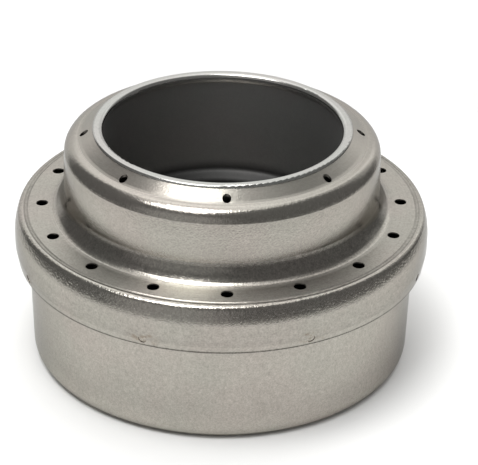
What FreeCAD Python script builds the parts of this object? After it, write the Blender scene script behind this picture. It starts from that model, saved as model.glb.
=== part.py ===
"""Alcohol spirit stove: a double-walled burner pressed from thin titanium sheet.

Three pressings make it: a cup, a stepped burner shell with two rings of jet ports, and an inner wall that
lines the open well and curls over the shell's top edge. Spot welds hold the shell's skirt to the cup.

Millimetres, +Z up. The origin is on the axis, at the flat underside of the cup. Heights in the sheet are
measured from there, and radii are outside radii unless the note says otherwise.
"""
import FreeCAD, Part
import math
import os

import Sketcher

DRIVING_SIZES = (
    # alias, value, note
    ("sheet_thickness", 0.4, "all three pressings"),
    ("total_height", 41.85, "top of the curled rim"),
    ("foot_radius", 32.95, "cup wall, where the bottom corner starts"),
    ("waist_radius", 33.4, "cup wall, just under the skirt"),
    ("bottom_corner", 2.1, "outside radius of the cup's bottom corner"),
    ("waist_height", 17.6, "where the cup starts to flare out to its mouth"),
    ("flare_radius", 34.92, "end of the flare, inside the skirt's edge"),
    ("flare_height", 18.6, "end of the flare"),
    ("mouth_radius", 35.29, "straight mouth of the cup, inside the skirt"),
    ("mouth_bend_height", 20.85, "where the cup's mouth turns upright"),
    ("mouth_height", 23.4, "top edge of the cup"),
    ("flare_corner", 0.6, "rounding of the flare and of the mouth's bend"),
    ("skirt_radius", 35.35, "crimped lower edge of the shell's skirt"),
    ("skirt_height", 18.5, "lower edge of the skirt"),
    ("bead_radius", 35.75, "widest part of the shell"),
    ("bead_bend_height", 20.8, "where the crimped skirt turns upright"),
    ("bead_slope_height", 24.4, "where the bead starts to lean in, before rounding"),
    ("bead_swell", 9.5, "gentle rounding of the bead's side"),
    ("bead_top_radius", 34.9, "corner of bead and flange, before rounding"),
    ("bead_top_height", 26.87, "height of the same corner"),
    ("bead_corner", 1.0, "tight rounding of that corner"),
    ("flange_height", 27.05, "top of the lower step at its foot, falling slightly outward"),
    ("neck_foot_radius", 29.15, "foot of the slope between flange and collar, before rounding"),
    ("neck_foot_corner", 2.1, "hollow rounding at the foot of that slope"),
    ("neck_top_radius", 27.2, "top of the slope, on the collar, before rounding"),
    ("neck_top_height", 28.75, "height of the same corner"),
    ("neck_hollow", 3.8, "hollow rounding at the top of the slope"),
    ("shoulder_radius", 26.94, "top of the slightly flared collar, where it would meet the ledge"),
    ("shoulder_height", 39.55, "height of the same corner"),
    ("shoulder_corner", 2.4, "rounding of the shoulder"),
    ("ledge_radius", 24.3, "inner end of the ledge, foot of the sloping jet face"),
    ("ledge_height", 39.87, "inner end of the ledge"),
    ("ledge_bend", 1.5, "rounding of the bends at the ledge's inner end and above the skirt"),
    ("landing_radius", 22.0, "top of the jet face, where the curled rim lands"),
    ("landing_height", 41.45, "flat landing under the rim"),
    ("shell_bore", 21.3, "hole in the shell's top, for the inner wall"),
    ("crease_radius", 33.75, "fine line rolled round the flange's edge"),
    ("crease_tool_radius", 0.55, "section radius of the tool that rolls the line"),
    ("crease_depth", 0.11, "depth of the rolled line"),
    ("lower_port_radius", 1.03, "jet ports in the flange"),
    ("lower_port_circle", 30.98, "radius of the circle they are on"),
    ("lower_port_count", 16, "ports in the flange"),
    ("upper_port_radius", 0.72, "jet ports in the sloping face"),
    ("upper_port_circle", 23.55, "radius of the circle they are on"),
    ("upper_port_count", 8, "ports in the sloping face"),
    ("well_radius", 20.8, "inside radius of the well, above its step"),
    ("well_foot_radius", 18.9, "inside radius of the well, below its step"),
    ("step_top_height", 22.7, "upper end of the well's step, on the inside"),
    ("step_foot_height", 21.3, "lower end of the well's step, on the inside"),
    ("step_drop", 0.2, "how much lower the step's corners are on the outside"),
    ("step_bend", 0.8, "tight side of each bend of the step"),
    ("rim_inner_radius", 20.35, "inside of the curled rim"),
    ("rim_outer_radius", 22.12, "outside of the curled rim, just past the landing"),
    ("curl_foot_height", 40.15, "where the curl leaves the well's wall"),
    ("curl_height", 40.85, "where the curl is at its narrowest"),
    ("rim_inner_corner", 0.7, "rounding of the rim towards the well"),
    ("rim_outer_corner", 0.38, "rounding of the rim towards the jet face"),
    ("notch_radius", 2.0, "fuel notches in the foot of the inner wall"),
    ("notch_count", 6, "notches in the foot"),
    ("weld_radius", 0.7, "spot weld nuggets"),
    ("weld_height", 19.75, "middle of a nugget, on the skirt"),
    ("weld_count", 8, "spot welds round the skirt"),
    ("weld_dish", 0.1, "how far a nugget's face lies under the skirt's skin"),
)
MATCH = 0.001
FULL_TURN = 360.0

doc = FreeCAD.newDocument("spirit_stove")


def make_sheet():
    """The driving dimensions, one row each: name, value, note."""
    table = doc.addObject("Spreadsheet::Sheet", "sizes")
    for row, (alias, value, note) in enumerate(DRIVING_SIZES, start=1):
        table.set(f"A{row}", alias)
        table.set(f"B{row}", str(value))
        table.set(f"C{row}", note)
        table.setAlias(f"B{row}", alias)
    doc.recompute()
    return table


sizes = make_sheet()


def size(alias):
    """One driving dimension, as a number."""
    return float(sizes.get(alias))


def bound(text):
    """An expression on the sheet: each word of the text that is an alias reads its cell."""
    aliases = {alias for alias, value, note in DRIVING_SIZES}
    words = [f"sizes.{word}" if word in aliases else word for word in text.split()]
    return " ".join(words)


def new_body(label):
    body = doc.addObject("PartDesign::Body", label)
    body.Label = label
    return body


def origin_item(body, role):
    return next(item for item in body.Origin.OriginFeatures if item.Role == role)


def new_sketch(body, name, plane):
    sketch = body.newObject("Sketcher::SketchObject", name)
    sketch.AttachmentSupport = [(origin_item(body, plane), "")]
    sketch.MapMode = "FlatFace"
    return sketch


def bind_point(sketch, geometry, point, across, up):
    """Place a sketch point by two expressions; None puts it on the axis instead."""
    origin_point = (-1, 1)
    horizontal_axis = -1
    vertical_axis = -2
    for kind, expression, axis in (("DistanceX", across, vertical_axis), ("DistanceY", up, horizontal_axis)):
        if expression is None:
            sketch.addConstraint(Sketcher.Constraint("PointOnObject", geometry, point, axis))
        else:
            index = sketch.addConstraint(Sketcher.Constraint(kind, *origin_point, geometry, point, 1.0))
            sketch.setExpression(f"Constraints[{index}]", bound(expression))


def outline_sketch(body, name, corners):
    """A closed outline on the XZ plane, through corners given as (radius, height) expressions."""
    sketch = new_sketch(body, name, "XZ_Plane")
    count = len(corners)
    turn = 2 * math.pi / count
    draft = [
        FreeCAD.Vector(20 + 10 * math.cos(turn * index), 20 + 10 * math.sin(turn * index), 0)
        for index in range(count)
    ]
    for index in range(count):
        sketch.addGeometry(Part.LineSegment(draft[index], draft[(index + 1) % count]), False)
    for index, (radius, height) in enumerate(corners):
        sketch.addConstraint(Sketcher.Constraint("Coincident", index, 2, (index + 1) % count, 1))
        bind_point(sketch, index, 1, radius, height)
    return sketch


def circle_sketch(body, name, plane, across, up, radius):
    """One circle on an origin plane, its centre and radius given as expressions."""
    sketch = new_sketch(body, name, plane)
    sketch.addGeometry(Part.Circle(FreeCAD.Vector(20, 20, 0), FreeCAD.Vector(0, 0, 1), 1.0), False)
    bind_point(sketch, 0, 3, across, up)
    index = sketch.addConstraint(Sketcher.Constraint("Radius", 0, 1.0))
    sketch.setExpression(f"Constraints[{index}]", bound(radius))
    return sketch


def revolve(body, name, sketch, kind="PartDesign::Revolution"):
    """Turn a sketch a full turn about the Z axis, as a solid or as a groove."""
    feature = body.newObject(kind, name)
    feature.Profile = sketch
    feature.ReferenceAxis = (sketch, ["V_Axis"])
    feature.Angle = FULL_TURN
    doc.recompute()
    return feature


def ring_edges(feature, radius, height):
    """Names of the circular edges about the Z axis with this radius at this height."""
    names = []
    for number, edge in enumerate(feature.Shape.Edges, start=1):
        curve = edge.Curve
        if not isinstance(curve, Part.Circle):
            continue
        if abs(curve.Radius - radius) < MATCH and abs(curve.Center.z - height) < MATCH:
            names.append(f"Edge{number}")
    if not names:
        raise ValueError(f"{feature.Label} has no edge of radius {radius} at height {height}")
    return names


def flat_faces(feature, height):
    """Names of the flat faces that lie at this height."""
    names = []
    for number, face in enumerate(feature.Shape.Faces, start=1):
        if isinstance(face.Surface, Part.Plane) and abs(face.CenterOfMass.z - height) < MATCH:
            names.append(f"Face{number}")
    return names


def round_edges(body, name, base, rings, radius):
    """Fillet the ring edges given as (radius, height) with a radius from the sheet."""
    fillet = body.newObject("PartDesign::Fillet", name)
    edges = [edge for ring_radius, height in rings for edge in ring_edges(base, ring_radius, height)]
    fillet.Base = (base, edges)
    fillet.setExpression("Radius", bound(radius))
    doc.recompute()
    return fillet


def hollow_out(body, name, base, open_heights):
    """Leave only sheet of the one thickness, open at the flat faces that lie at these heights."""
    skin = body.newObject("PartDesign::Thickness", name)
    skin.Base = (base, [face for height in open_heights for face in flat_faces(base, height)])
    skin.Reversed = True
    skin.setExpression("Value", bound("sheet_thickness"))
    doc.recompute()
    return skin


def checked_cut(body, feature):
    """Stop if a cut has taken nothing away."""
    doc.recompute()
    before = feature.BaseFeature.Shape.Volume
    if feature.Shape.Volume > before - MATCH:
        raise ValueError(f"{body.Label}: {feature.Label} removes no material")
    return feature


def polar_copies(body, name, feature, axis_sketch, axis, count):
    """Repeat a feature round the Z axis."""
    pattern = body.newObject("PartDesign::PolarPattern", name)
    pattern.Originals = [feature]
    pattern.Axis = (axis_sketch, [axis])
    pattern.Angle = FULL_TURN
    pattern.setExpression("Occurrences", bound(count))
    body.Tip = pattern
    return checked_cut(body, pattern)


def pierce_ports(body, name, circle, radius, count):
    """A ring of round ports, punched straight up through the sheet."""
    sketch = circle_sketch(body, f"{name}_sketch", "XY_Plane", circle, None, radius)
    pocket = body.newObject("PartDesign::Pocket", f"{name}_first")
    pocket.Profile = sketch
    pocket.Type = "ThroughAll"
    pocket.Reversed = True
    checked_cut(body, pocket)
    return polar_copies(body, name, pocket, sketch, "N_Axis", count)


def skirt_slope():
    """Lean of the crimped skirt from upright, in degrees, and its outside radius at the weld height."""
    rise = size("bead_bend_height") - size("skirt_height")
    run = size("bead_radius") - size("skirt_radius")
    radius = size("skirt_radius") + run * (size("weld_height") - size("skirt_height")) / rise
    return math.degrees(math.atan2(run, rise)), radius


def weld_placement(azimuth, depth):
    """Square to the crimped skirt, starting this deep under its skin and pointing outwards."""
    lean, radius = skirt_slope()
    upright = FreeCAD.Vector(0, 0, 1)
    outward = FreeCAD.Rotation(FreeCAD.Vector(0, 1, 0), 90 + lean)
    turn = FreeCAD.Rotation(upright, azimuth)
    on_skin = FreeCAD.Vector(radius, 0, size("weld_height"))
    start = on_skin - outward.multVec(upright) * depth
    return FreeCAD.Placement(turn.multVec(start), turn.multiply(outward))


def drill_weld_seats(body, name):
    """Holes that the weld nuggets fill, halfway between the upper jet ports."""
    seat_length = 3.0
    first_azimuth = FULL_TURN / size("weld_count") / 2
    seat = body.newObject("PartDesign::SubtractiveCylinder", f"{name}_first")
    seat.setExpression("Radius", bound("weld_radius"))
    seat.Height = seat_length
    seat.Placement = weld_placement(first_azimuth, seat_length / 2)
    checked_cut(body, seat)
    axis_sketch = next(item for item in body.Group if item.isDerivedFrom("Sketcher::SketchObject"))
    return polar_copies(body, name, seat, axis_sketch, "V_Axis", "weld_count")


def make_base_cup():
    """Fuel cup: flat floor, round corner, leaning wall, and a flared mouth held inside the shell's skirt."""
    body = new_body("base_cup")
    outline = outline_sketch(body, "cup_outline", (
        (None, None),
        ("foot_radius", None),
        ("waist_radius", "waist_height"),
        ("flare_radius", "flare_height"),
        ("mouth_radius", "mouth_bend_height"),
        ("mouth_radius", "mouth_height"),
        (None, "mouth_height"),
    ))
    form = revolve(body, "cup_form", outline)
    form = round_edges(body, "cup_bottom_corner", form, ((size("foot_radius"), 0.0),), "bottom_corner")
    bends = (
        (size("waist_radius"), size("waist_height")),
        (size("flare_radius"), size("flare_height")),
        (size("mouth_radius"), size("mouth_bend_height")),
    )
    form = round_edges(body, "cup_mouth_bends", form, bends, "flare_corner")
    hollow_out(body, "cup_sheet", form, (size("mouth_height"),))
    drill_weld_seats(body, "cup_weld_seats")
    return body


def make_burner_shell():
    """Stepped top: crimped skirt, bead, flange with lower ports, collar, ledge and sloping jet face."""
    body = new_body("burner_shell")
    outline = outline_sketch(body, "shell_outline", (
        (None, "skirt_height"),
        ("skirt_radius", "skirt_height"),
        ("bead_radius", "bead_bend_height"),
        ("bead_radius", "bead_slope_height"),
        ("bead_top_radius", "bead_top_height"),
        ("neck_foot_radius", "flange_height"),
        ("neck_top_radius", "neck_top_height"),
        ("shoulder_radius", "shoulder_height"),
        ("ledge_radius", "ledge_height"),
        ("landing_radius", "landing_height"),
        (None, "landing_height"),
    ))
    form = revolve(body, "shell_form", outline)
    roundings = (
        # name, radius, corners before rounding
        ("bead_swelling", "bead_swell", (("bead_radius", "bead_slope_height"),)),
        ("bead_rounding", "bead_corner", (("bead_top_radius", "bead_top_height"),)),
        ("neck_foot_rounding", "neck_foot_corner", (("neck_foot_radius", "flange_height"),)),
        ("neck_rounding", "neck_hollow", (("neck_top_radius", "neck_top_height"),)),
        ("shoulder_rounding", "shoulder_corner", (("shoulder_radius", "shoulder_height"),)),
        ("skirt_bend", "ledge_bend", (("bead_radius", "bead_bend_height"),)),
        ("jet_face_bend", "ledge_bend", (("ledge_radius", "ledge_height"),)),
    )
    for name, radius, corners in roundings:
        rings = [(size(across), size(up)) for across, up in corners]
        form = round_edges(body, name, form, rings, radius)
    hollow_out(body, "shell_sheet", form, (size("skirt_height"),))

    bore_sketch = circle_sketch(body, "bore_sketch", "XY_Plane", None, None, "shell_bore")
    bore = body.newObject("PartDesign::Pocket", "shell_bore_cut")
    bore.Profile = bore_sketch
    bore.Type = "ThroughAll"
    bore.Reversed = True
    checked_cut(body, bore)

    tool_height = "bead_top_height + crease_tool_radius - crease_depth"
    crease_sketch = circle_sketch(
        body, "crease_sketch", "XZ_Plane", "crease_radius", tool_height, "crease_tool_radius")
    checked_cut(body, revolve(body, "flange_crease", crease_sketch, "PartDesign::Groove"))

    pierce_ports(body, "lower_ports", "lower_port_circle", "lower_port_radius", "lower_port_count")
    pierce_ports(body, "upper_ports", "upper_port_circle", "upper_port_radius", "upper_port_count")
    drill_weld_seats(body, "shell_weld_seats")
    return body


def make_inner_wall():
    """Sleeve that lines the well: a step at the fill level, fuel notches, and a rim curled over the shell."""
    body = new_body("inner_wall")
    outline = outline_sketch(body, "wall_outline", (
        ("well_foot_radius", "sheet_thickness"),
        ("well_foot_radius", "step_foot_height"),
        ("well_radius", "step_top_height"),
        ("well_radius", "curl_foot_height"),
        ("rim_inner_radius", "curl_height"),
        ("rim_inner_radius", "total_height"),
        ("rim_outer_radius", "total_height"),
        ("rim_outer_radius", "landing_height"),
        ("well_radius + sheet_thickness", "landing_height"),
        ("well_radius + sheet_thickness", "step_top_height - step_drop"),
        ("well_foot_radius + sheet_thickness", "step_foot_height - step_drop"),
        ("well_foot_radius + sheet_thickness", "sheet_thickness"),
    ))
    form = revolve(body, "wall_form", outline)
    thickness = size("sheet_thickness")
    tight_bends = (
        (size("well_radius"), size("step_top_height")),
        (size("well_foot_radius") + thickness, size("step_foot_height") - size("step_drop")),
    )
    wide_bends = (
        (size("well_foot_radius"), size("step_foot_height")),
        (size("well_radius") + thickness, size("step_top_height") - size("step_drop")),
    )
    rim_inside = ((size("rim_inner_radius"), size("total_height")),)
    rim_outside = ((size("rim_outer_radius"), size("total_height")),)
    curl_bends = (
        (size("well_radius"), size("curl_foot_height")),
        (size("rim_inner_radius"), size("curl_height")),
    )
    form = round_edges(body, "step_tight_bends", form, tight_bends, "step_bend")
    form = round_edges(body, "step_wide_bends", form, wide_bends, "step_bend + sheet_thickness")
    form = round_edges(body, "rim_inner_rounding", form, rim_inside, "rim_inner_corner")
    form = round_edges(body, "rim_outer_rounding", form, rim_outside, "rim_outer_corner")
    round_edges(body, "curl_bends", form, curl_bends, "rim_outer_corner")

    notch_sketch = circle_sketch(body, "notch_sketch", "XZ_Plane", None, "sheet_thickness", "notch_radius")
    notch = body.newObject("PartDesign::Pocket", "fuel_notch_first")
    notch.Profile = notch_sketch
    notch.Type = "ThroughAll"
    checked_cut(body, notch)
    polar_copies(body, "fuel_notches", notch, notch_sketch, "V_Axis", "notch_count")
    return body


def make_spot_welds():
    """Nuggets that join the skirt to the cup's mouth, as one group of separate solids."""
    count = int(size("weld_count"))
    two_sheets = 2 * size("sheet_thickness")
    fit_gap = size("bead_radius") - size("sheet_thickness") - size("mouth_radius")
    depth = two_sheets + fit_gap
    nuggets = []
    for index in range(count):
        nugget = doc.addObject("Part::Cylinder", f"weld_nugget_{index + 1}")
        nugget.setExpression("Radius", bound("weld_radius"))
        nugget.setExpression("Height", f"{depth} - sizes.weld_dish")
        nugget.Placement = weld_placement((index + 0.5) * FULL_TURN / count, depth)
        nuggets.append(nugget)
    group = doc.addObject("Part::Compound", "spot_welds")
    group.Label = "spot_welds"
    group.Links = nuggets
    return group


def check_document():
    """Stop on any object that FreeCAD marks as failed."""
    doc.recompute()
    for item in doc.Objects:
        if "Invalid" in item.State or "Error" in item.State:
            raise ValueError(f"{item.Label} failed: {item.State}")


def check_shape(part):
    if part.Shape.isNull() or not part.Shape.isValid():
        raise ValueError(f"{part.Label} has no valid shape")


def write_parts(parts):
    os.makedirs("parts", exist_ok=True)
    for part in parts:
        check_shape(part)
    for part in parts:
        part.Shape.exportStep(f"parts/{part.Label}.step")
        box = part.Shape.BoundBox
        print(f"{part.Label}: {len(part.Shape.Solids)} solids, {part.Shape.Volume:.1f} mm3, "
              f"z {box.ZMin:.2f} to {box.ZMax:.2f}, width {box.XLength:.2f}")


stove_parts = [make_base_cup(), make_burner_shell(), make_inner_wall(), make_spot_welds()]
check_document()
write_parts(stove_parts)
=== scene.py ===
import math

import bpy
from mathutils import Euler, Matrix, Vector


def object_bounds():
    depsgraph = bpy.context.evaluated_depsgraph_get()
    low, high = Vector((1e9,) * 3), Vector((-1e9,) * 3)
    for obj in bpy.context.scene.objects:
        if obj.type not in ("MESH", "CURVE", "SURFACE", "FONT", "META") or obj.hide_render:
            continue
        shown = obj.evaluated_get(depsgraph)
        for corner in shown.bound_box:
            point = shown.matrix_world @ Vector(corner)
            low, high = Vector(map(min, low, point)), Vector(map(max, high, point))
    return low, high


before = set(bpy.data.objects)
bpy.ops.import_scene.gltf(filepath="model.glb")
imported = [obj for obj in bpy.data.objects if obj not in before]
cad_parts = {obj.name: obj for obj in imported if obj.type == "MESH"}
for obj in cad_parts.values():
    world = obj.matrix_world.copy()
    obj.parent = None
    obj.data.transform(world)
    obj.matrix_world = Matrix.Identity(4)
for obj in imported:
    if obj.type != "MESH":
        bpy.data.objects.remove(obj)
cad_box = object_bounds()
low, high = cad_box
MM = 0.001


def mm(*lengths):
    """Lengths given in millimetres, in metres."""
    return tuple(length * MM for length in lengths)


# ---------------------------------------------------------------- where each finish shows, in metres

# Bands: where it starts, where it ends, and the distance over which it fades outside them.
# painted shadow on the cup wall under the skirt's edge
SKIRT_SHADOW_HEIGHTS = mm(17.25, 18.4, 0.15)
# painted shadow line along the skirt's lower edge
SEAM_SHADOW_HEIGHTS = mm(18.3, 18.66, 0.1)
# painted highlight line just above the skirt's lower edge
SEAM_HIGHLIGHT_HEIGHTS = mm(19.0, 19.5, 0.25)
STAIN_HEIGHTS = mm(19.4, 20.6, 1.0)
BEAD_HEIGHTS = mm(25.3, 26.7, 0.7)
BEAD_RADII = mm(34.6, 40.0, 0.5)
CREASE_RADII = mm(33.55, 34.1, 0.2)
FLANGE_HEIGHTS = mm(26.9, 27.4, 0.3)
FLANGE_RADII = mm(29.5, 34.0, 0.5)
NECK_HEIGHTS = mm(27.5, 29.7, 0.25)
COLLAR_FOOT_HEIGHTS = mm(28.6, 32.0, 3.0)
SHOULDER_HEIGHTS = mm(38.0, 39.4, 0.8)
JET_FACE_HEIGHTS = mm(39.9, 41.5, 0.2)
JET_FACE_RADII = mm(22.0, 24.4, 0.3)

# Edges: the two places between which one finish passes into the next.
# the cup's foot edge bounds painted light on the lowest part of the wall
CUP_FOOT_EDGE = mm(1.0, 6.0)
WELL_BOTTOM_EDGE = mm(22.0, 25.0)
SKIRT_TOP_EDGE = mm(22.5, 24.5)
CREASE_LOWER_EDGE = mm(26.2, 26.5)
NECK_OUTER_EDGE = mm(28.3, 28.9)
SHOULDER_EDGE = mm(37.6, 39.2)
RIM_LOWER_EDGE = mm(41.0, 41.3)

BODY_RADIUS = (high.x - low.x) / 2
WELD_COUNT = 8

# ---------------------------------------------------------------- colours and strengths of the finishes

SATIN = (0.374, 0.353, 0.318)
WELL_GREY = (0.38, 0.375, 0.37)
POLISHED = (0.45, 0.445, 0.425)
PINKER = (1.012, 0.993, 0.992)
GREENER = (0.988, 1.004, 0.992)
HEAT_STAIN = (0.72, 0.66, 0.60, 1.0)
PAPER = (0.80, 0.80, 0.79, 1.0)
GRAZING_TINT = 0.60
SATIN_MOTTLING = 0.14
WELD_MOTTLING = 0.12
WELL_MOTTLING = 0.04
CUP_ROUGHNESS = 0.24
SHELL_ROUGHNESS = 0.19
WELL_ROUGHNESS = 0.55
RIM_ROUGHNESS = 0.20
WELD_ROUGHNESS = 0.26
PAPER_ROUGHNESS = 0.9
TURNED_ANISOTROPY = 0.85
QUARTER_TURN = 0.25
STREAK_STRETCH = 0.12
WELL_BOTTOM_LEVEL = 0.12
SHOULDER_GRAIN = 0.4

# Sizes of the features of each noise, and heights of the relief, in metres.
FINE_SIZE, COARSE_SIZE, WIDE_SIZE, PATCH_SIZE = mm(0.30, 0.75, 7.0, 11.0)
PEEL_SIZE, DRAW_SIZE, STREAK_SIZE = mm(0.36, 0.5, 0.8)
SHELL_RING_SIZE, WELL_RING_SIZE = mm(0.30, 0.35)
STAIN_SIZE, WELD_BLOTCH_SIZE = mm(1.1, 0.7)
FINE_RELIEF, COARSE_RELIEF = mm(0.0035, 0.003)
BEAD_PEEL_RELIEF, SHOULDER_PEEL_RELIEF = mm(0.013, 0.004)
BEAD_COMB_RELIEF, SHOULDER_COMB_RELIEF, FOOT_COMB_RELIEF = mm(0.003, 0.004, 0.001)
SHELL_RING_RELIEF, WELL_RING_RELIEF, WELL_FINE_RELIEF = mm(0.0012, 0.0008, 0.002)
WELD_FINE_RELIEF, WELD_COARSE_RELIEF = mm(0.005, 0.008)

# ---------------------------------------------------------------- studio: metres, degrees and watts

SHEET_FADE_RADIUS = 0.085
SHEET_RADIUS = 0.15
TABLE_RADIUS = 2.0
TABLE_DROP = 0.05 * MM
ROOM_BRIGHTNESS = 0.21
PANELS = (
    # azimuth from and to, elevation from and to, softness of the edges, strength
    (-36, 38, -30, 60, 12, 0.95),
    (36, 56, 18, 60, 12, 0.45),
)
GLOWS = (
    # azimuth, elevation, inner and outer edge of the glow, strength
    (-8, 42, 6, 26, 0.45),
    (-25, 78, 14, 30, 1.0),
    (60, 78, 5, 22, 0.4),
    (-150, 5, 10, 42, 0.30),
)
KEY_DIRECTION = Vector((-0.24, -0.22, 0.94)).normalized()
SENSOR_WIDTH_MM = 36.0
LENS_MM = 161.9
CAMERA_DISTANCE = 0.37505
CAMERA_AZIMUTH = 181.92
CAMERA_ELEVATION = 29.286
CAMERA_AIM_HEIGHT = 0.020
CAMERA_NUDGE_UP = 0.141
CAMERA_NUDGE_SIDE = -0.469
CAMERA_ROLL = 0.769


# ---------------------------------------------------------------- node helpers

def set_input(node, name, value):
    """Set a socket, or link another node's output to it."""
    socket = node.inputs[name]
    if isinstance(value, bpy.types.NodeSocket):
        node.id_data.links.new(value, socket)
    else:
        socket.default_value = value


def add_node(tree, kind, settings=None, **inputs):
    """Add a node, set its properties, then its sockets by name or by number as in0, in1."""
    node = tree.nodes.new(kind)
    for name, value in (settings or {}).items():
        setattr(node, name, value)
    for name, value in inputs.items():
        if name.startswith("in") and name[2:].isdigit():
            set_input(node, int(name[2:]), value)
        else:
            set_input(node, name, value)
    return node


def calculate(tree, operation, first, second=0.0, third=0.0):
    """One Math node."""
    node = add_node(tree, "ShaderNodeMath", {"operation": operation}, in0=first, in1=second, in2=third)
    return node.outputs[0]


def vector_math(tree, operation, **inputs):
    """One Vector Math node."""
    return add_node(tree, "ShaderNodeVectorMath", {"operation": operation}, **inputs)


def remap(tree, value, low_in, high_in, low_out, high_out):
    """A smooth Map Range node."""
    node = add_node(tree, "ShaderNodeMapRange", {"interpolation_type": "SMOOTHSTEP"}, Value=value)
    names = ("From Min", "From Max", "To Min", "To Max")
    for name, number in zip(names, (low_in, high_in, low_out, high_out)):
        set_input(node, name, number)
    return node.outputs["Result"]


def band(tree, value, start, end, soft):
    """1 between start and end, fading to 0 over the soft distance outside them."""
    rising = remap(tree, value, start - soft, start, 0.0, 1.0)
    falling = remap(tree, value, end, end + soft, 1.0, 0.0)
    return calculate(tree, "MULTIPLY", rising, falling)


def weighted(tree, *pairs):
    """Sum of value times weight."""
    total = 0.0
    for value, weight in pairs:
        total = calculate(tree, "ADD", total, calculate(tree, "MULTIPLY", value, weight))
    return total


def noise(tree, vector, size, detail):
    """Noise from about -1 to 1, with features of the given size in metres."""
    node = add_node(tree, "ShaderNodeTexNoise", Vector=vector, Scale=1.0 / size, Detail=detail)
    return calculate(tree, "MULTIPLY_ADD", node.outputs["Fac"], 4.0, -2.0)


def blend_colors(tree, mode, factor, first, second):
    """A colour Mix node."""
    node = add_node(tree, "ShaderNodeMix", {"data_type": "RGBA", "blend_type": mode},
                    in0=factor, in6=first, in7=second)
    return node.outputs[2]


def grey(tree, level):
    """A grey of the given level."""
    return add_node(tree, "ShaderNodeCombineColor", Red=level, Green=level, Blue=level).outputs[0]


# ---------------------------------------------------------------- what the titanium finishes share

def lathe_coordinates(tree):
    """Object coordinates, radius, height, height less radius, and a vector whose noise makes draw streaks."""
    place = tree.nodes.new("ShaderNodeTexCoord").outputs["Object"]
    x, y, z = add_node(tree, "ShaderNodeSeparateXYZ", in0=place).outputs
    flat = add_node(tree, "ShaderNodeCombineXYZ", in0=x, in1=y).outputs[0]
    radius = vector_math(tree, "LENGTH", in0=flat).outputs["Value"]
    unit = vector_math(tree, "NORMALIZE", in0=flat).outputs[0]
    ring = vector_math(tree, "SCALE", in0=unit, Scale=BODY_RADIUS).outputs[0]
    run = calculate(tree, "SUBTRACT", z, radius)
    slow = calculate(tree, "MULTIPLY", run, STREAK_STRETCH)
    rise = add_node(tree, "ShaderNodeCombineXYZ", in2=slow).outputs[0]
    down = vector_math(tree, "ADD", in0=ring, in1=rise).outputs[0]
    return {"place": place, "x": x, "y": y, "z": z, "radius": radius, "run": run, "down": down}


def new_titanium(name):
    """A metal that is dimmer at grazing angles; returns material, node tree, shader and coordinates."""
    material = bpy.data.materials.new(name)
    material.use_nodes = True
    tree = material.node_tree
    shader = tree.nodes["Principled BSDF"]
    shader.inputs["Metallic"].default_value = 1.0
    shader.inputs["Specular Tint"].default_value = (GRAZING_TINT, GRAZING_TINT, GRAZING_TINT, 1.0)
    return material, tree, shader, lathe_coordinates(tree)


def tinted(tree, where, color, level):
    """The colour times a level, a little greener in some patches and pinker in others."""
    green, pink = (tuple(c * f for c, f in zip(color, shift)) + (1.0,) for shift in (GREENER, PINKER))
    patch = remap(tree, noise(tree, where["place"], PATCH_SIZE, 2.0), -0.7, 0.7, 0.0, 1.0)
    tint = blend_colors(tree, "MIX", patch, green, pink)
    return blend_colors(tree, "MULTIPLY", 1.0, tint, grey(tree, level))


def satin_grain(tree, where, mottling):
    """The blasted skin: its fine and coarse relief, and how its brightness varies."""
    fine = noise(tree, where["place"], FINE_SIZE, 1.0)
    coarse = noise(tree, where["place"], COARSE_SIZE, 2.0)
    wide = noise(tree, where["place"], WIDE_SIZE, 2.0)
    level = weighted(tree, (fine, mottling), (coarse, mottling * 0.6), (wide, mottling * 0.2), (1.0, 1.0))
    return fine, coarse, level


def lathe_lines(tree, where, size):
    """Fine lines that run round the axis, as a lathe tool leaves them."""
    profile = add_node(tree, "ShaderNodeCombineXYZ", in2=where["run"]).outputs[0]
    return noise(tree, profile, size, 1.0)


def bumped(tree, shader, height):
    """Feed a height in metres to the shader's normal."""
    bump = add_node(tree, "ShaderNodeBump", Height=height, Distance=1.0, Strength=1.0)
    set_input(shader, "Normal", bump.outputs["Normal"])


# ---------------------------------------------------------------- cup

def make_cup_titanium():
    """Blasted satin of the fuel cup: faint draw lines, a painted shadow line under the skirt, and painted
    light on its foot.
    """
    material, tree, shader, where = new_titanium("cup_titanium")
    fine, coarse, grain = satin_grain(tree, where, SATIN_MOTTLING)
    draw = noise(tree, where["down"], DRAW_SIZE, 1.0)
    # painted shadow: the cup wall is darkened in a band under the skirt
    skirt_shadow = band(tree, where["z"], *SKIRT_SHADOW_HEIGHTS)
    # painted light: the foot of the cup is lightened towards the bottom
    painted_foot_light = remap(tree, where["z"], *CUP_FOOT_EDGE, 1.0, 0.0)
    level = weighted(tree, (grain, 1.0), (draw, 0.015), (skirt_shadow, -0.45), (painted_foot_light, 0.18))
    set_input(shader, "Base Color", tinted(tree, where, SATIN, level))
    set_input(shader, "Roughness", weighted(tree, (coarse, 0.03), (CUP_ROUGHNESS, 1.0)))
    bumped(tree, shader, weighted(tree, (fine, FINE_RELIEF), (coarse, COARSE_RELIEF)))
    return material


# ---------------------------------------------------------------- shell

def zone(tree, where, heights, radii):
    """1 where the height and the radius both lie in their bands."""
    between_heights = band(tree, where["z"], *heights)
    return calculate(tree, "MULTIPLY", between_heights, band(tree, where["radius"], *radii))


def neck_shade(tree, where):
    """The inside of the bend between the flange and the collar, where shade is painted."""
    inside = remap(tree, where["radius"], *NECK_OUTER_EDGE, 1.0, 0.0)
    return calculate(tree, "MULTIPLY", band(tree, where["z"], *NECK_HEIGHTS), inside)


def crease_shade(tree, where):
    """The shallow line rolled round the flange beside the bead, where shade is painted."""
    above = remap(tree, where["z"], *CREASE_LOWER_EDGE, 0.0, 1.0)
    return calculate(tree, "MULTIPLY", above, band(tree, where["radius"], *CREASE_RADII))


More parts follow.
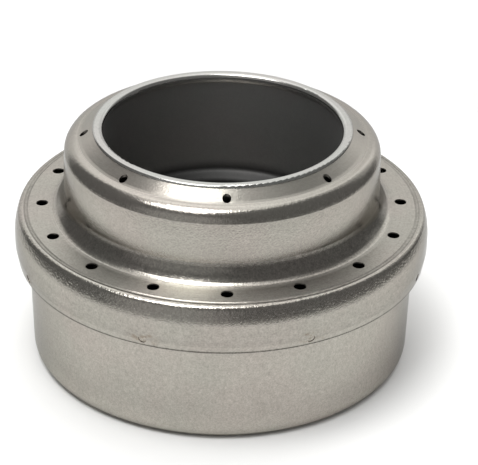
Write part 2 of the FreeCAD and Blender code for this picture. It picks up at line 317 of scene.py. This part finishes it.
def turned_zone(tree, where):
    """Where a lathe tool dressed the shell: the flange and the sloping jet face."""
    flange = zone(tree, where, FLANGE_HEIGHTS, FLANGE_RADII)
    jet_face = zone(tree, where, JET_FACE_HEIGHTS, JET_FACE_RADII)
    return calculate(tree, "ADD", flange, jet_face)


def weld_stains(tree, where):
    """Blotchy heat marks on the skirt round each spot weld; the first weld is half a step from the x axis."""
    angle = calculate(tree, "ARCTAN2", where["y"], where["x"])
    steps = calculate(tree, "MULTIPLY_ADD", angle, WELD_COUNT, math.pi)
    near_weld = remap(tree, calculate(tree, "COSINE", steps), 0.75, 1.0, 0.0, 1.0)
    stain = calculate(tree, "MULTIPLY", near_weld, band(tree, where["z"], *STAIN_HEIGHTS))
    blotch = remap(tree, noise(tree, where["place"], STAIN_SIZE, 3.0), -0.3, 0.8, 0.0, 1.0)
    return calculate(tree, "MULTIPLY", stain, blotch)


def shell_level(tree, where, grain, rings, ring_lines, collar_foot):
    """Brightness of the shell: grain, streaks and turned lines, with painted shade in its neck bend and
    crease, a painted shadow line and a painted highlight line at its lower edge, and a darker skirt.
    """
    shoulder_grain = remap(tree, where["z"], *SHOULDER_EDGE, 1.0, SHOULDER_GRAIN)
    mottle = calculate(tree, "MULTIPLY", calculate(tree, "SUBTRACT", grain, 1.0), shoulder_grain)
    streaks = calculate(tree, "MULTIPLY", noise(tree, where["down"], STREAK_SIZE, 2.0), collar_foot)
    turned_lines = calculate(tree, "MULTIPLY", ring_lines, rings)
    # painted shadow line at the skirt's lower edge, and a painted highlight line just above it
    seam_shadow = band(tree, where["z"], *SEAM_SHADOW_HEIGHTS)
    seam_highlight = band(tree, where["z"], *SEAM_HIGHLIGHT_HEIGHTS)
    skirt = remap(tree, where["z"], *SKIRT_TOP_EDGE, 1.0, 0.0)
    # painted shade in the neck bend and along the crease
    return weighted(tree, (mottle, 1.0), (1.0, 1.0), (streaks, 0.035), (turned_lines, 0.05), (seam_shadow, -0.6),
                    (seam_highlight, 0.12), (neck_shade(tree, where), -0.25), (crease_shade(tree, where), -0.25),
                    (skirt, -0.11))


def shell_relief(tree, where, fine, coarse, rings, ring_lines, collar_foot):
    """Relief of the shell in metres: grain, orange peel, draw streaks and turned lines."""
    bead = zone(tree, where, BEAD_HEIGHTS, BEAD_RADII)
    shoulder = band(tree, where["z"], *SHOULDER_HEIGHTS)
    peel = noise(tree, where["place"], PEEL_SIZE, 1.0)
    comb = noise(tree, where["down"], PEEL_SIZE, 1.0)
    peel_relief = weighted(tree, (bead, BEAD_PEEL_RELIEF), (shoulder, SHOULDER_PEEL_RELIEF))
    comb_relief = weighted(tree, (bead, BEAD_COMB_RELIEF), (shoulder, SHOULDER_COMB_RELIEF),
                           (collar_foot, FOOT_COMB_RELIEF))
    ring_relief = calculate(tree, "MULTIPLY", rings, SHELL_RING_RELIEF)
    return weighted(tree, (fine, FINE_RELIEF), (coarse, COARSE_RELIEF), (peel, peel_relief),
                    (comb, comb_relief), (ring_lines, ring_relief))


def make_shell_titanium():
    """Satin shell, with its turned flange and jet face, and heat stains round its welds."""
    material, tree, shader, where = new_titanium("shell_titanium")
    fine, coarse, grain = satin_grain(tree, where, SATIN_MOTTLING)
    rings = turned_zone(tree, where)
    ring_lines = lathe_lines(tree, where, SHELL_RING_SIZE)
    collar_foot = band(tree, where["z"], *COLLAR_FOOT_HEIGHTS)
    level = shell_level(tree, where, grain, rings, ring_lines, collar_foot)
    skin = tinted(tree, where, SATIN, level)
    roughness = weighted(tree, (coarse, 0.02), (rings, 0.16), (collar_foot, 0.03), (SHELL_ROUGHNESS, 1.0))
    around = add_node(tree, "ShaderNodeTangent", {"direction_type": "RADIAL", "axis": "Z"}).outputs[0]
    stained = blend_colors(tree, "MULTIPLY", weld_stains(tree, where), skin, HEAT_STAIN)
    set_input(shader, "Base Color", stained)
    set_input(shader, "Roughness", roughness)
    set_input(shader, "Anisotropic", calculate(tree, "MULTIPLY", rings, TURNED_ANISOTROPY))
    set_input(shader, "Anisotropic Rotation", QUARTER_TURN)
    set_input(shader, "Tangent", around)
    bumped(tree, shader, shell_relief(tree, where, fine, coarse, rings, ring_lines, collar_foot))
    return material


# ---------------------------------------------------------------- well and welds

def make_well_titanium():
    """Inside of the well: a dull grey, darker towards the bottom, below its polished rim."""
    material, tree, shader, where = new_titanium("well_titanium")
    fine, coarse, grain = satin_grain(tree, where, WELL_MOTTLING)
    rim = remap(tree, where["z"], *RIM_LOWER_EDGE, 0.0, 1.0)
    depth = remap(tree, where["z"], *WELL_BOTTOM_EDGE, WELL_BOTTOM_LEVEL, 1.0)
    dull = tinted(tree, where, WELL_GREY, calculate(tree, "MULTIPLY", grain, depth))
    bright = tinted(tree, where, POLISHED, grain)
    roughness = weighted(tree, (coarse, 0.02), (rim, RIM_ROUGHNESS - WELL_ROUGHNESS), (WELL_ROUGHNESS, 1.0))
    turning = lathe_lines(tree, where, WELL_RING_SIZE)
    set_input(shader, "Base Color", blend_colors(tree, "MIX", rim, dull, bright))
    set_input(shader, "Roughness", roughness)
    bumped(tree, shader, weighted(tree, (fine, WELL_FINE_RELIEF), (turning, WELL_RING_RELIEF)))
    return material


def make_weld_titanium():
    """Spot-weld nuggets: the sheet's own satin with brown heat blotches."""
    material, tree, shader, where = new_titanium("weld_titanium")
    fine, coarse, grain = satin_grain(tree, where, WELD_MOTTLING)
    blotch = remap(tree, noise(tree, where["place"], WELD_BLOTCH_SIZE, 3.0), -0.5, 0.6, 0.0, 1.0)
    skin = tinted(tree, where, SATIN, grain)
    set_input(shader, "Base Color", blend_colors(tree, "MULTIPLY", blotch, skin, HEAT_STAIN))
    set_input(shader, "Roughness", weighted(tree, (coarse, 0.04), (WELD_ROUGHNESS, 1.0)))
    bumped(tree, shader, weighted(tree, (fine, WELD_FINE_RELIEF), (coarse, WELD_COARSE_RELIEF)))
    return material


def dress(node, material):
    """Give a CAD node its material."""
    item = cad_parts[node]
    item.data.materials.clear()
    item.data.materials.append(material)


# ---------------------------------------------------------------- floor, light and camera

def new_paper(name):
    """Matt white; returns the material, its node tree and its shader."""
    material = bpy.data.materials.new(name)
    material.use_nodes = True
    shader = material.node_tree.nodes["Principled BSDF"]
    shader.inputs["Base Color"].default_value = PAPER
    shader.inputs["Roughness"].default_value = PAPER_ROUGHNESS
    shader.inputs["Specular IOR Level"].default_value = 0.1
    return material, material.node_tree, shader


def make_floor():
    """A pale sheet whose edge fades away, on a pale table that the metal does not mirror."""
    sheet, tree, shader = new_paper("floor_sheet")
    place = tree.nodes.new("ShaderNodeTexCoord").outputs["Object"]
    radius = vector_math(tree, "LENGTH", in0=place).outputs["Value"]
    set_input(shader, "Alpha", remap(tree, radius, SHEET_FADE_RADIUS, SHEET_RADIUS, 1.0, 0.0))
    table = new_paper("floor_table")[0]
    for paper, size, height in ((sheet, SHEET_RADIUS, low.z), (table, TABLE_RADIUS, low.z - TABLE_DROP)):
        bpy.ops.mesh.primitive_circle_add(vertices=96, radius=size, fill_type="NGON")
        disc = bpy.context.object
        disc.location.z = height
        disc.name = paper.name
        disc.data.materials.append(paper)
        disc.visible_glossy = paper is sheet


def direction(azimuth, elevation):
    """Unit vector; azimuth 0 is behind the stove, 90 to its right."""
    a, e = math.radians(azimuth), math.radians(elevation)
    return Vector((math.sin(a) * math.cos(e), math.cos(a) * math.cos(e), math.sin(e)))


def make_room():
    """A dim studio with a tall bright backdrop and a pale ceiling, as soft patches in the world."""
    world = bpy.data.worlds.new("studio")
    bpy.context.scene.world = world
    world.use_nodes = True
    tree = world.node_tree
    heading = tree.nodes.new("ShaderNodeTexCoord").outputs["Generated"]
    x, y, z = add_node(tree, "ShaderNodeSeparateXYZ", in0=heading).outputs
    azimuth = calculate(tree, "ARCTAN2", x, y)
    elevation = calculate(tree, "ARCSINE", z)
    total = ROOM_BRIGHTNESS
    for *angles, strength in PANELS:
        left, right, bottom, top, soft = (math.radians(angle) for angle in angles)
        panel = calculate(tree, "MULTIPLY", band(tree, azimuth, left, right, soft),
                          band(tree, elevation, bottom, top, soft))
        total = calculate(tree, "ADD", total, calculate(tree, "MULTIPLY", panel, strength))
    for around, up, inner, outer, strength in GLOWS:
        towards = vector_math(tree, "DOT_PRODUCT", in0=heading, in1=direction(around, up)).outputs["Value"]
        edges = (math.cos(math.radians(angle)) for angle in (outer, inner))
        total = calculate(tree, "ADD", total, remap(tree, towards, *edges, 0.0, strength))
    set_input(tree.nodes["Background"], "Color", grey(tree, total))


def make_lamp(name, towards, width, depth, power, seen_in_metal):
    """A soft rectangular lamp a metre away, pointed at the stove."""
    light = bpy.data.lights.new(name, "AREA")
    light.shape = "RECTANGLE"
    light.size = width
    light.size_y = depth
    light.energy = power
    lamp = bpy.data.objects.new(name, light)
    bpy.context.scene.collection.objects.link(lamp)
    lamp.location = towards
    lamp.rotation_euler = towards.to_track_quat("Z", "Y").to_euler()
    lamp.visible_glossy = seen_in_metal


def make_camera():
    """A long lens looking down at the stove from the front."""
    data = bpy.data.cameras.new("camera")
    data.sensor_width = SENSOR_WIDTH_MM
    data.lens = LENS_MM
    data.clip_start = 0.01
    data.clip_end = 20.0
    camera = bpy.data.objects.new("camera", data)
    bpy.context.scene.collection.objects.link(camera)
    back = direction(CAMERA_AZIMUTH, CAMERA_ELEVATION)
    camera.location = Vector((0, 0, CAMERA_AIM_HEIGHT)) + back * CAMERA_DISTANCE
    nudge = Euler((math.radians(CAMERA_NUDGE_UP), math.radians(CAMERA_NUDGE_SIDE), 0.0), "YXZ")
    roll = Euler((0.0, 0.0, math.radians(CAMERA_ROLL)), "XYZ")
    camera.rotation_mode = "QUATERNION"
    camera.rotation_quaternion = back.to_track_quat("Z", "Y") @ nudge.to_quaternion() @ roll.to_quaternion()
    bpy.context.scene.camera = camera


# ---------------------------------------------------------------- the scene

dress("base_cup", make_cup_titanium())
dress("burner_shell", make_shell_titanium())
dress("inner_wall", make_well_titanium())
dress("spot_welds", make_weld_titanium())
make_floor()
make_room()
make_lamp("key", KEY_DIRECTION, width=0.50, depth=0.54, power=7.0, seen_in_metal=True)
make_lamp("fill", direction(150, 75), width=1.2, depth=1.2, power=5.0, seen_in_metal=False)
make_camera()
bpy.context.scene.view_settings.view_transform = "Standard"
